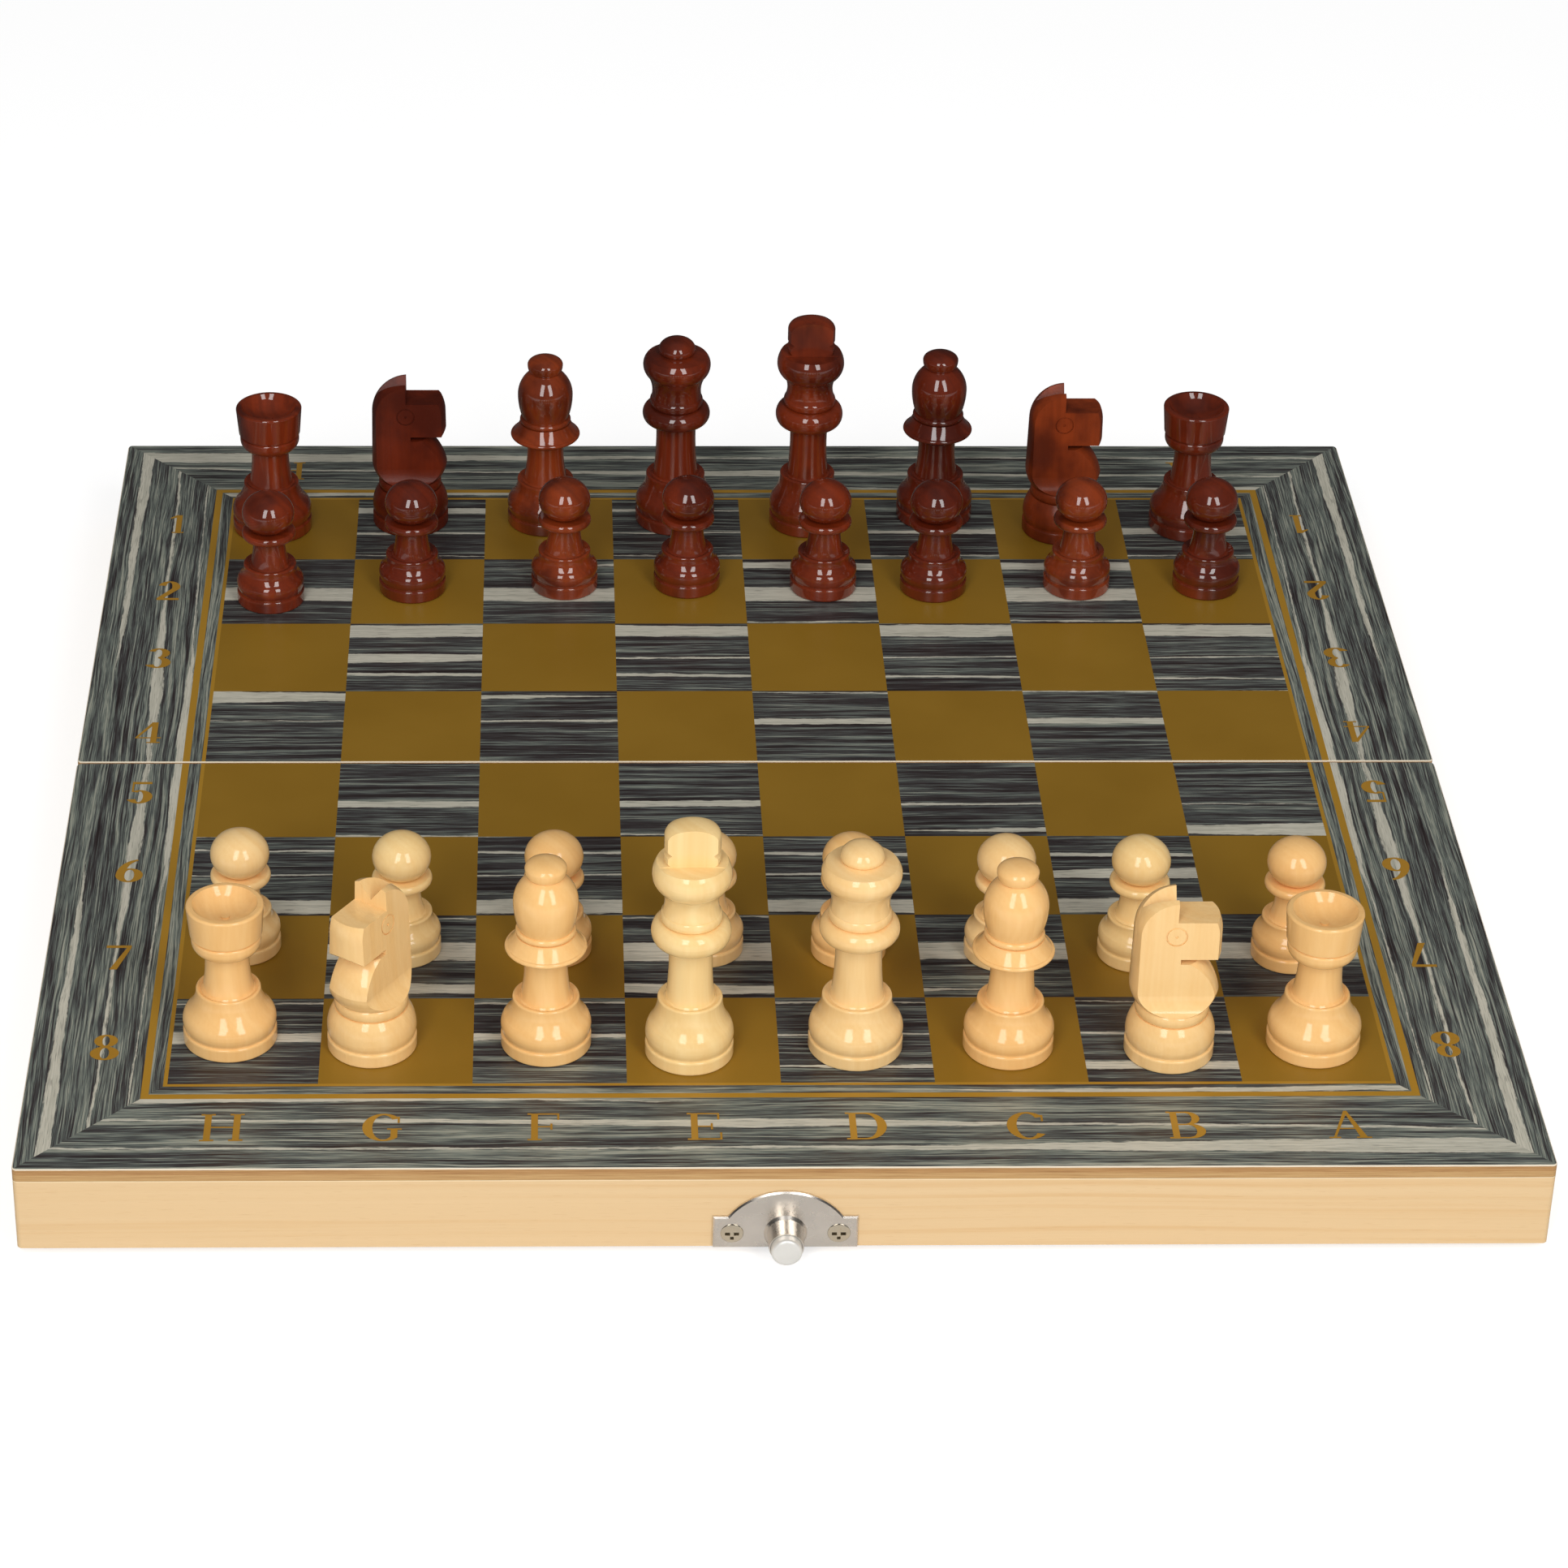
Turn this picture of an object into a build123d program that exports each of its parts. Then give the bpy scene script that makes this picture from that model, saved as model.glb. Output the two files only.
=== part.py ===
from build123d import *
import os
from math import atan2, hypot, tan

os.makedirs("parts", exist_ok=True)

# A folding game box, opened flat as a board with its chessmen standing on it.
# Millimetres, +Z up. The origin is the middle of the seam, at the height of the rims
# that the open box stands on. The front half is at -Y, the rear half at +Y.

# Box
board_width = 290.0
board_depth = 290.0
seam_gap = 0.5
corner_radius = 1.0
panel_thickness = 2.8
panel_edge_ease = 0.25
rail_height = 15.6
rail_thickness = 8.0

# Hinges: two small butt hinges let into the rims at the seam
hinge_place = 85.0
hinge_pin_radius = 0.5
hinge_running_clearance = 0.05
hinge_wall = 0.55
hinge_axis_drop = 0.15
knuckle_length = 8.5
knuckle_gap = 0.25
knuckle_room = 0.25
leaf_width = 7.0
leaf_thickness = 0.9
leaf_room = 0.05
pin_end_reach = 0.15
pin_end_round = 0.2

# Countersunk screws: hinge screws and the larger catch screws
screw_fit = 0.03
hinge_screw_spread = 16.0
hinge_screw_inset = 4.3
hinge_screw_head_radius = 1.7
hinge_screw_shank_radius = 0.75
hinge_screw_length = 9.0
hinge_screw_dome = 0.0
catch_screw_spread = 20.2
catch_screw_height = 3.6
catch_screw_head_radius = 2.15
catch_screw_shank_radius = 1.0
catch_screw_length = 7.0
catch_screw_dome = 0.3
screw_point_share = 1.5
cross_length_share = 1.25
cross_width_share = 0.33
cross_depth = 0.5

# Catch: a half-moon plate with a boss and a sprung push button
plate_thickness = 0.8
plate_rim_gap = 0.15
plate_width = 27.4
plate_arch_radius = 13.1
plate_lug_height = 7.3
plate_bevel = 0.3
boss_height = 3.6
boss_root_radius = 3.65
boss_end_radius = 3.3
boss_length = 4.6
boss_collar_radius = 4.1
boss_collar_length = 0.6
button_radius = 2.95
button_clearance = 0.08
button_reach = 6.5
button_edge = 0.7
button_travel = 1.3
button_back_room = 0.2
stem_radius = 1.5
rivet_radius = 1.2
rivet_head_radius = 1.4
rivet_head_height = 0.3
bar_width = 10.4
bar_height = 5.9
bar_thickness = 1.0
bar_front_gap = 0.5
dog_width = 1.4
dog_height = 0.6
dog_tip_gap = 0.1
spring_radius = 1.75
spring_wire_radius = 0.2
spring_turns = 3.5
spring_end_gap = 0.03
pocket_room = 0.8
spring_space = 2.9

# Strike: the matching half-moon plate with a two-pronged tongue
tongue_gap = 0.2
tongue_thickness = 0.8
tongue_reach = 2.2
tongue_root_height = 2.5
prong_width = 2.8
prong_middle = 4.0
window_side = 0.55
window_tip = 0.6
window_room = 0.12
recess_room = 0.2

# Board squares that the chessmen stand on
square = 29.64

# Chessmen: radii and heights of their turned outlines
foot_height = 3.0
groove_depth = 0.35
groove_width = 0.3
edge_round = 0.5
top_flat = 0.3
bell_belly = 1.6
bell_shoulder_share = 0.27
bell_shoulder_rise = 0.31
bell_hollow = 0.45
lip_height = 0.4
stem_hollow = 0.3
bead_inset = 0.5
waist_hollow = 0.5
crown_inset = 0.8

pawn_foot_radius = 7.55
pawn_bell_height = 5.9
pawn_lip_radius = 5.9
pawn_stem_radius = 4.4
pawn_neck_radius = 3.65
pawn_stem_height = 6.6
pawn_collar_radius = 6.0
pawn_collar_height = 1.8
pawn_collar_inset = 0.6
pawn_head_seat = 3.2
pawn_head_low = 4.1
pawn_head_radius = 5.85
pawn_head_height = 9.0

rook_foot_radius = 9.1
rook_bell_height = 8.4
rook_lip_radius = 6.3
rook_stem_radius = 5.0
rook_neck_radius = 4.35
rook_stem_height = 8.5
rook_ring_radius = 6.75
rook_ring_height = 3.5
rook_ring_belly = 2.4
rook_cup_radius = 7.5
rook_cup_flare = 0.5
rook_cup_height = 6.7
rook_cup_wall = 1.2
rook_cup_depth = 3.2
rook_cup_hollow = 0.9
rook_dot_radius = 0.8

bishop_foot_radius = 8.8
bishop_bell_height = 7.6
bishop_lip_radius = 6.5
bishop_stem_radius = 5.0
bishop_neck_radius = 4.25
bishop_stem_height = 8.9
bishop_collar_radius = 7.95
bishop_collar_height = 2.5
bishop_collar_hollow = 0.3
bishop_cone_height = 3.1
bishop_cone_hollow = 0.15
bishop_ring_radius = 5.85
bishop_ring_height = 1.3
bishop_ball_seat = 5.3
bishop_ball_radius = 6.3
bishop_ball_height = 11.4
bishop_button_seat = 3.3
bishop_button_radius = 4.05
bishop_button_height = 3.7

queen_foot_radius = 9.2
queen_bell_height = 8.6
queen_lip_radius = 6.8
queen_stem_radius = 5.2
queen_neck_radius = 4.6
queen_stem_height = 13.3
queen_collar_radius = 7.75
queen_collar_height = 4.2
queen_ring_radius = 6.1
queen_ring_height = 2.2
queen_waist_radius = 5.75
queen_waist_height = 5.4
queen_waist_flare = 0.9
queen_crown_radius = 7.75
queen_crown_low = 2.7
queen_crown_high = 2.1
queen_crown_slope = 0.8
queen_cap_radius = 4.25
queen_cap_belly = 0.9
queen_cap_height = 3.6

king_foot_radius = 8.6
king_bell_height = 9.6
king_lip_radius = 6.3
king_stem_radius = 4.75
king_neck_radius = 4.35
king_stem_height = 12.5
king_collar_radius = 7.7
king_collar_height = 5.0
king_ring_radius = 5.95
king_ring_height = 2.1
king_waist_radius = 5.6
king_waist_height = 4.8
king_waist_flare = 0.2
king_crown_radius = 7.65
king_crown_low = 3.5
king_crown_high = 2.8
king_finial_radius = 5.4
king_finial_notch = 0.7
king_finial_lower_height = 2.2
king_finial_upper_height = 5.9
king_finial_dome = 2.6
king_finial_thickness = 5.2

# The knight: its turned foot and blank, then the saw cuts that shape its head
knight_foot_radius = 8.7
knight_bulb_height = 6.2
knight_ring_radius = 7.2
knight_ring_height = 2.4
knight_neck_radius = 6.9
knight_chest_radius = 8.65
knight_chest_swell = 4.4
knight_head_radius = 8.45
knight_dome_height = 8.0
knight_head_height = 24.8
knight_flank_low = 8.8
knight_flank_high = 7.2
knight_cove_height = 3.6
knight_cove_hollow = 0.5
knight_brow = -0.6
knight_muzzle_top = 31.9
knight_muzzle_bevel = 1.2
knight_mouth_top = 23.7
knight_mouth_height = 1.1
knight_mouth_back = 0.4
knight_ledge = 4.6
knight_chest_belly = 3.6
knight_chest_round = 0.5
knight_ear_notch = 33.0
knight_ear_slope = 1.3
knight_eye_place = -0.7
knight_eye_height = 28.8
knight_eye_radius = 2.1
knight_eye_line = 0.3
knight_eye_floor = 3.65

# Where each man stands: its file from the left, its rank from the front, how far it is off the
# middle of its square in X and Y, and the way it faces
light_places = [
    ("rook_left", 1, 1, -2.8, 1.8, 0),
    ("knight_left", 2, 1, -4.8, -0.6, -124),
    ("bishop_left", 3, 1, -0.7, -0.2, 0),
    ("king", 4, 1, -2.6, -3.4, 0),
    ("queen", 5, 1, 0.1, -1.5, 0),
    ("bishop_right", 6, 1, 0.2, -1.7, 0),
    ("knight_right", 7, 1, 1.7, -3.2, 0),
    ("rook_right", 8, 1, 0.5, -1.1, 0),
    ("pawn_1", 1, 2, -2.0, 3.8, 0),
    ("pawn_2", 2, 2, 0.4, 2.7, 0),
    ("pawn_3", 3, 2, 0.9, 2.7, 0),
    ("pawn_4", 4, 2, 1.6, 2.9, 0),
    ("pawn_5", 5, 2, 0.6, 1.9, 0),
    ("pawn_6", 6, 2, 1.6, 1.2, 0),
    ("pawn_7", 7, 2, -1.3, 0.8, 0),
    ("pawn_8", 8, 2, -0.1, 0.2, 0),
]
dark_places = [
    ("rook_left", 1, 8, -4.8, 1.2, 0),
    ("knight_left", 2, 8, -2.5, 4.1, 0),
    ("bishop_left", 3, 8, -0.8, 4.3, 0),
    ("queen", 4, 8, -0.3, 5.1, 0),
    ("king", 5, 8, 0.6, 3.5, 0),
    ("bishop_right", 6, 8, 1.0, 6.8, 0),
    ("knight_right", 7, 8, 0.2, 0.1, 0),
    ("rook_right", 8, 8, 0.7, 1.9, 0),
    ("pawn_1", 1, 7, -3.5, -3.4, 0),
    ("pawn_2", 2, 7, -1.3, 1.4, 0),
    ("pawn_3", 3, 7, 3.5, 2.9, 0),
    ("pawn_4", 4, 7, 1.7, 3.6, 0),
    ("pawn_5", 5, 7, 3.0, 2.1, 0),
    ("pawn_6", 6, 7, -1.6, 1.7, 0),
    ("pawn_7", 7, 7, 1.5, 2.7, 0),
    ("pawn_8", 8, 7, 1.4, 2.7, 0),
]

# Worked out from the sizes above
board_top = rail_height + panel_thickness
half_depth = (board_depth - seam_gap) / 2
half_middle = (seam_gap + half_depth) / 2
knuckle_radius = hinge_pin_radius + hinge_running_clearance + hinge_wall
leaf_length = 3 * knuckle_length + 2 * knuckle_gap
leaf_start = knuckle_radius + knuckle_room
front_face = Plane(origin=(0, -board_depth / 2, 0), x_dir=(1, 0, 0), z_dir=(0, -1, 0))
rear_face = Plane(origin=(0, board_depth / 2, 0), x_dir=(-1, 0, 0), z_dir=(0, 1, 0))
bar_depth = tongue_gap + tongue_thickness + bar_front_gap
spring_depth = bar_depth + bar_thickness
pocket_depth = spring_depth + spring_space
prong_outer = prong_middle + prong_width / 2
window_top = tongue_reach - 2 * hinge_axis_drop - window_tip
dog_bottom = window_top - window_room - dog_height
bar_middle = dog_bottom + bar_height / 2


def finish(piece, name):
    """Name a finished piece and write it to its own file."""
    piece.label = name
    export_step(piece, os.path.join("parts", name + ".step"))


# Screws, and the holes that they sit in


def screw(head_radius, shank_radius, length, dome):
    """A countersunk screw pointing along +Z, with the rim of its head at Z = 0."""
    head_height = head_radius - shank_radius
    point_length = screw_point_share * shank_radius
    slot_length = cross_length_share * head_radius
    slot_width = cross_width_share * head_radius
    with BuildPart() as body:
        with BuildSketch(Plane.XZ):
            with BuildLine():
                Line((0, 0), (0, length))
                Polyline(
                    (0, length),
                    (shank_radius, length - point_length),
                    (shank_radius, head_height),
                    (head_radius, 0),
                    (0, 0),
                )
            make_face()
        revolve(axis=Axis.Z)
        if dome > 0:
            with BuildSketch(Plane.XZ):
                with BuildLine():
                    crown = EllipticalCenterArc((0, 0), head_radius, dome, start_angle=270, arc_size=90)
                    Polyline(crown @ 1, (0, 0), crown @ 0)
                make_face()
            revolve(axis=Axis.Z)
        with BuildSketch(Plane.XY.offset(-dome)):
            Rectangle(slot_length, slot_width)
            Rectangle(slot_width, slot_length)
        extrude(amount=cross_depth, mode=Mode.SUBTRACT)
    return body.part


def screws(places, head_radius, shank_radius, length, dome):
    """One screw copied to several places, as separate solids of one piece."""
    one = screw(head_radius, shank_radius, length, dome)
    with BuildPart() as group:
        with Locations(*places):
            add(one)
    return group.part


def cut_screw_holes(places, head_radius, shank_radius, length):
    """Countersunk blind holes at several places, in the part that is being built."""
    low = (Align.CENTER, Align.CENTER, Align.MIN)
    sink = head_radius - shank_radius
    with Locations(*places):
        Cone(head_radius + screw_fit, shank_radius + screw_fit, sink, align=low, mode=Mode.SUBTRACT)
        Cylinder(shank_radius + screw_fit, length + screw_fit, align=low, mode=Mode.SUBTRACT)


def hinge_screw_places(side):
    """Where the screws of one half's hinge leaves start, pointing up into the rail."""
    return [
        Location((hinge_x + step * hinge_screw_spread / 2, side * hinge_screw_inset, 0))
        for hinge_x in (-hinge_place, hinge_place)
        for step in (-1, 1)
    ]


def plate_screw_places(face):
    """Where the two screws of a catch or strike plate start, pointing into the rail."""
    places = []
    for step in (-1, 1):
        spot = (step * catch_screw_spread / 2, catch_screw_height, plate_thickness)
        start = face.from_local_coords(Vector(*spot))
        places.append(Plane(origin=start, x_dir=face.x_dir, z_dir=-face.z_dir).location)
    return places


# The two halves of the box: a veneered sheet on a frame of four mitred rails


def panel(side):
    """The sheet that is half of the playing surface and one wall of the closed box."""
    with BuildPart() as sheet:
        with BuildSketch(Plane.XY.offset(rail_height)):
            with Locations((0, side * half_middle)):
                RectangleRounded(board_width, half_depth, corner_radius)
        extrude(amount=panel_thickness)
        chamfer(sheet.faces().sort_by(Axis.Z)[-1].edges(), panel_edge_ease)
    return sheet.part


def rail(side, number):
    """A plain mitred rail of one frame: 0 at the seam, 1 right, 2 at the outer edge, 3 left."""
    x = board_width / 2
    seam = side * seam_gap / 2
    edge = side * board_depth / 2
    step = side * rail_thickness
    inner_x = x - rail_thickness
    outer = [(-x, seam), (x, seam), (x, edge), (-x, edge)]
    inner = [
        (-inner_x, seam + step),
        (inner_x, seam + step),
        (inner_x, edge - step),
        (-inner_x, edge - step),
    ]
    after = (number + 1) % 4
    with BuildPart() as bar:
        with BuildSketch():
            with BuildLine():
                Polyline(outer[number], outer[after], inner[after], inner[number], close=True)
            make_face()
            with Locations((0, side * half_middle)):
                RectangleRounded(board_width, half_depth, corner_radius, mode=Mode.INTERSECT)
        extrude(amount=rail_height)
    return bar.part


def mid_rail(side):
    """The rail at the seam, with a mortise for each hinge leaf and its screws."""
    blank = rail(side, 0)
    leaf_edge = leaf_width + leaf_room
    knuckle_cut = knuckle_radius - hinge_axis_drop + knuckle_room
    with BuildPart() as bar:
        add(blank)
        with BuildSketch():
            with Locations(*[(x, side * leaf_edge / 2) for x in (-hinge_place, hinge_place)]):
                Rectangle(leaf_length + 2 * leaf_room, leaf_edge)
        extrude(amount=leaf_thickness, mode=Mode.SUBTRACT)
        with BuildSketch():
            with Locations(*[(x, side * leaf_start / 2) for x in (-hinge_place, hinge_place)]):
                Rectangle(leaf_length + 2 * (pin_end_reach + leaf_room), leaf_start)
        extrude(amount=knuckle_cut, mode=Mode.SUBTRACT)
        cut_screw_holes(
            hinge_screw_places(side),
            hinge_screw_head_radius,
            hinge_screw_shank_radius,
            hinge_screw_length,
        )
    return bar.part


def outer_rail(side, face, pocket_width, pocket_height, depth):
    """The rail at the outer edge, with a pocket behind its catch or strike plate."""
    blank = rail(side, 2)
    with BuildPart() as bar:
        add(blank)
        with BuildSketch(face):
            with Locations((0, pocket_height / 2)):
                Rectangle(pocket_width, pocket_height)
        extrude(amount=-depth, mode=Mode.SUBTRACT)
        cut_screw_holes(
            plate_screw_places(face),
            catch_screw_head_radius,
            catch_screw_shank_radius,
            catch_screw_length,
        )
    return bar.part


bar_pocket = (
    max(bar_width, 2 * prong_outer) + 2 * pocket_room,
    dog_bottom + bar_height + pocket_room,
    pocket_depth,
)
tongue_pocket = (
    2 * (prong_outer + recess_room),
    tongue_root_height + recess_room,
    tongue_gap + tongue_thickness + recess_room,
)
for half, side, face, pocket in (
    ("front", -1, front_face, bar_pocket),
    ("rear", 1, rear_face, tongue_pocket),
):
    finish(panel(side), half + "_panel")
    finish(mid_rail(side), half + "_mid_rail")
    finish(outer_rail(side, face, *pocket), half + "_outer_rail")
    finish(rail(side, 1), half + "_right_rail")
    finish(rail(side, 3), half + "_left_rail")

# Hinges


def hinge_leaf(side, hinge_x):
    """A leaf with its knuckles: the two outer ones in front, the middle one at the rear."""
    pitch = knuckle_length + knuckle_gap
    own = [hinge_x - pitch, hinge_x + pitch] if side < 0 else [hinge_x]
    along_x = (0, 90, 0)
    with BuildPart() as leaf:
        with BuildSketch():
            with Locations((hinge_x, side * (leaf_start + leaf_width) / 2)):
                Rectangle(leaf_length, leaf_width - leaf_start)
            with Locations(*[(x, side * leaf_width / 2) for x in own]):
                Rectangle(knuckle_length, leaf_width)
        extrude(amount=leaf_thickness)
        with Locations(*[Location((x, 0, -hinge_axis_drop), along_x) for x in own]):
            Cylinder(knuckle_radius, knuckle_length)
        with Locations(Location((hinge_x, 0, -hinge_axis_drop), along_x)):
            Cylinder(hinge_pin_radius + hinge_running_clearance, leaf_length, mode=Mode.SUBTRACT)
        cut_screw_holes(
            hinge_screw_places(side),
            hinge_screw_head_radius,
            hinge_screw_shank_radius,
            hinge_screw_length,
        )
    return leaf.part


def hinge_pin(hinge_x):
    """The pin that both leaves turn on, with rounded ends."""
    pin_length = leaf_length + 2 * pin_end_reach
    with BuildPart() as pin:
        with Locations(Location((hinge_x, 0, -hinge_axis_drop), (0, 90, 0))):
            Cylinder(hinge_pin_radius, pin_length)
        fillet(pin.edges().filter_by(GeomType.CIRCLE), pin_end_round)
    return pin.part


for name, hinge_x in (("hinge_left", -hinge_place), ("hinge_right", hinge_place)):
    finish(hinge_leaf(-1, hinge_x), name + "_front_leaf")
    finish(hinge_leaf(1, hinge_x), name + "_rear_leaf")
    finish(hinge_pin(hinge_x), name + "_pin")

for half, side in (("front", -1), ("rear", 1)):
    group = screws(
        hinge_screw_places(side),
        hinge_screw_head_radius,
        hinge_screw_shank_radius,
        hinge_screw_length,
        hinge_screw_dome,
    )
    finish(group, "hinge_screws_" + half)

# Catch on the front edge, strike on the rear edge


def half_moon(face):
    """The plate that catch and strike share: an arch between two screw lugs, edges bevelled."""
    outward = Axis(face.origin, face.z_dir)
    with BuildPart() as plate:
        with BuildSketch(face):
            Circle(plate_arch_radius)
            with Locations((0, plate_lug_height / 2)):
                Rectangle(plate_width, plate_lug_height)
            with Locations((0, plate_rim_gap + plate_arch_radius / 2)):
                Rectangle(plate_width, plate_arch_radius, mode=Mode.INTERSECT)
        extrude(amount=plate_thickness)
        chamfer(plate.faces().sort_by(outward)[-1].edges(), plate_bevel)
        cut_screw_holes(
            plate_screw_places(face),
            catch_screw_head_radius,
            catch_screw_shank_radius,
            catch_screw_length,
        )
    return plate.part


def catch_axis_place(out):
    """A place on the push button's axis, so far out from the rail's face, facing outwards."""
    spot = front_face.from_local_coords(Vector(0, boss_height, out))
    return Plane(origin=spot, x_dir=front_face.x_dir, z_dir=front_face.z_dir).location


boss_end = plate_thickness + boss_length
bore_radius = button_radius + button_clearance
plain_plate = half_moon(front_face)
low = (Align.CENTER, Align.CENTER, Align.MIN)
with BuildPart() as catch_plate:
    add(plain_plate)
    with Locations(catch_axis_place(plate_thickness)):
        Cone(boss_collar_radius, boss_root_radius, boss_collar_length, align=low)
        Cone(boss_root_radius, boss_end_radius, boss_length, align=low)
    split(bisect_by=Plane.XY.offset(plate_rim_gap), keep=Keep.TOP)
    with Locations(catch_axis_place(0)):
        Cylinder(bore_radius, boss_end, align=low, mode=Mode.SUBTRACT)
finish(catch_plate.part, "catch_plate")

button_back = button_travel + button_back_room
button_front = plate_thickness + button_reach
with BuildPart() as catch_button:
    with Locations(catch_axis_place(button_back)):
        Cylinder(button_radius, button_front - button_back, align=low)
    fillet(catch_button.edges().sort_by(Axis.Y)[0], button_edge)
    with Locations(catch_axis_place(-bar_depth)):
        Cylinder(stem_radius, bar_depth + button_back, align=low)
    with Locations(catch_axis_place(-spring_depth)):
        Cylinder(rivet_radius, bar_thickness, align=low)
    with Locations(catch_axis_place(-spring_depth - rivet_head_height)):
        Cylinder(rivet_head_radius, rivet_head_height, align=low)
finish(catch_button.part, "catch_button")

with BuildPart() as catch_bar:
    with BuildSketch(front_face.offset(-spring_depth)):
        with Locations((0, bar_middle)):
            Rectangle(bar_width, bar_height)
        with Locations((0, boss_height)):
            Circle(rivet_radius + screw_fit, mode=Mode.SUBTRACT)
    extrude(amount=bar_thickness)
    with BuildSketch(front_face.offset(-bar_depth)):
        with Locations(*[(step * prong_middle, dog_bottom + dog_height / 2) for step in (-1, 1)]):
            Rectangle(dog_width, dog_height)
    extrude(amount=bar_depth - dog_tip_gap)
finish(catch_bar.part, "catch_bar")

coil_start = spring_depth + spring_end_gap + spring_wire_radius
coil_length = spring_space - 2 * (spring_end_gap + spring_wire_radius)
with BuildPart() as catch_spring:
    with BuildLine():
        coil = Helix(
            pitch=coil_length / spring_turns,
            height=coil_length,
            radius=spring_radius,
            center=catch_axis_place(-coil_start).position,
            direction=(0, 1, 0),
        )
    with BuildSketch(Plane(origin=coil @ 0, z_dir=coil % 0)):
        Circle(spring_wire_radius)
    sweep()
finish(catch_spring.part, "catch_spring")

plain_strike = half_moon(rear_face)
window_width = prong_width - 2 * window_side
window_height = dog_height + 2 * window_room
window_middle = window_tip + window_height / 2 - tongue_reach
root_height = tongue_root_height - plate_rim_gap
with BuildPart() as strike_plate:
    add(plain_strike)
    with BuildSketch(rear_face):
        with Locations((0, plate_rim_gap + root_height / 2)):
            Rectangle(2 * prong_outer, root_height)
    extrude(amount=-tongue_gap)
    with BuildSketch(rear_face.offset(-tongue_gap)):
        with Locations((0, plate_rim_gap + root_height / 2)):
            Rectangle(2 * prong_outer, root_height)
        prongs = [step * prong_middle for step in (-1, 1)]
        with Locations(*[(x, (tongue_root_height - tongue_reach) / 2) for x in prongs]):
            Rectangle(prong_width, tongue_root_height + tongue_reach)
        with Locations(*[(x, window_middle) for x in prongs]):
            Rectangle(window_width, window_height, mode=Mode.SUBTRACT)
    extrude(amount=-tongue_thickness)
finish(strike_plate.part, "strike_plate")

for name, face in (("catch_screws", front_face), ("strike_screws", rear_face)):
    group = screws(
        plate_screw_places(face),
        catch_screw_head_radius,
        catch_screw_shank_radius,
        catch_screw_length,
        catch_screw_dome,
    )
    finish(group, name)

# Chessmen. A turned outline is a list of rows: radius, height and how the tool gets there from
# the row before. 0 is straight, a number is how far an arc stands out, or cuts in where it is
# negative, "under" and "over" are quarter rounds below and above a bead, and "swell" and
# "close" are arcs that end and start upright.


def draw_row(before, row):
    """Draw one stretch of a turned outline, from one row to the next."""
    start, end, shape = before[:2], row[:2], row[2]
    across = end[0] - start[0]
    up = end[1] - start[1]
    reach = hypot(across, up)
    if shape == 0:
        Line(start, end)
        return
    if shape == "under":
        EllipticalCenterArc((start[0], end[1]), across, up, start_angle=270, arc_size=90)
        return
    if shape == "over":
        EllipticalCenterArc((end[0], start[1]), -across, up, start_angle=0, arc_size=90)
        return
    if shape in ("swell", "close"):
        shape = reach / 2 * tan(atan2(abs(across), up) / 2)
    middle = (start[0] + across / 2 + shape * up / reach, start[1] + up / 2 - shape * across / reach)
    ThreePointArc(start, middle, end)


def turned(rows):
    """A piece of wood turned about the Z axis to an outline of rows."""
    with BuildPart() as wood:
        with BuildSketch(Plane.XZ):
            with BuildLine():
                for before, row in zip(rows, rows[1:]):
                    draw_row(before, row)
                Line(rows[-1][:2], rows[0][:2])
            make_face()
        revolve(axis=Axis.Z)
    return wood.part


def foot_rows(foot_radius):
    """The disc that a man stands on, up to the groove above it."""
    groove = foot_radius - groove_depth
    return [
        (0, 0, 0),
        (foot_radius - edge_round, 0, 0),
        (foot_radius, edge_round, "under"),
        (foot_radius, foot_height - edge_round, 0),
        (groove, foot_height, "over"),
        (groove, foot_height + groove_width, 0),
    ]


def bell_rows(foot_radius, bell_height, lip_radius, stem_radius):
    """The foot and the bell above it, up to the lip that the stem rises from."""
    belly = foot_height + groove_width + bell_belly
    lip = foot_height + groove_width + bell_height
    shoulder = foot_radius - bell_shoulder_share * (foot_radius - lip_radius)
    return foot_rows(foot_radius) + [
        (foot_radius, belly, "swell"),
        (shoulder, belly + bell_shoulder_rise * (lip - belly), "close"),
        (lip_radius, lip, -bell_hollow),
        (lip_radius - lip_height, lip + lip_height, "over"),
        (stem_radius + groove_width, lip + lip_height - groove_width, 0),
        (stem_radius, lip + lip_height, 0),
    ]


def bead(rows, radius, height, inset):
    """Add a rounded bead of that radius and height, whose ends step in by the inset."""
    base = rows[-1][1]
    return rows + [
        (radius - inset, base, 0),
        (radius, base + height / 2, "under"),
        (radius - inset, base + height, "over"),
    ]


def pawn():
    rows = bell_rows(pawn_foot_radius, pawn_bell_height, pawn_lip_radius, pawn_stem_radius)
    rows += [(pawn_neck_radius, rows[-1][1] + pawn_stem_height, -stem_hollow)]
    rows = bead(rows, pawn_collar_radius, pawn_collar_height, pawn_collar_inset)
    base = rows[-1][1]
    rows += [
        (pawn_head_seat, base, 0),
        (pawn_head_radius, base + pawn_head_low, "swell"),
        (top_flat, base + pawn_head_height, "over"),
        (0, base + pawn_head_height, 0),
    ]
    return turned(rows)


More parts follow.
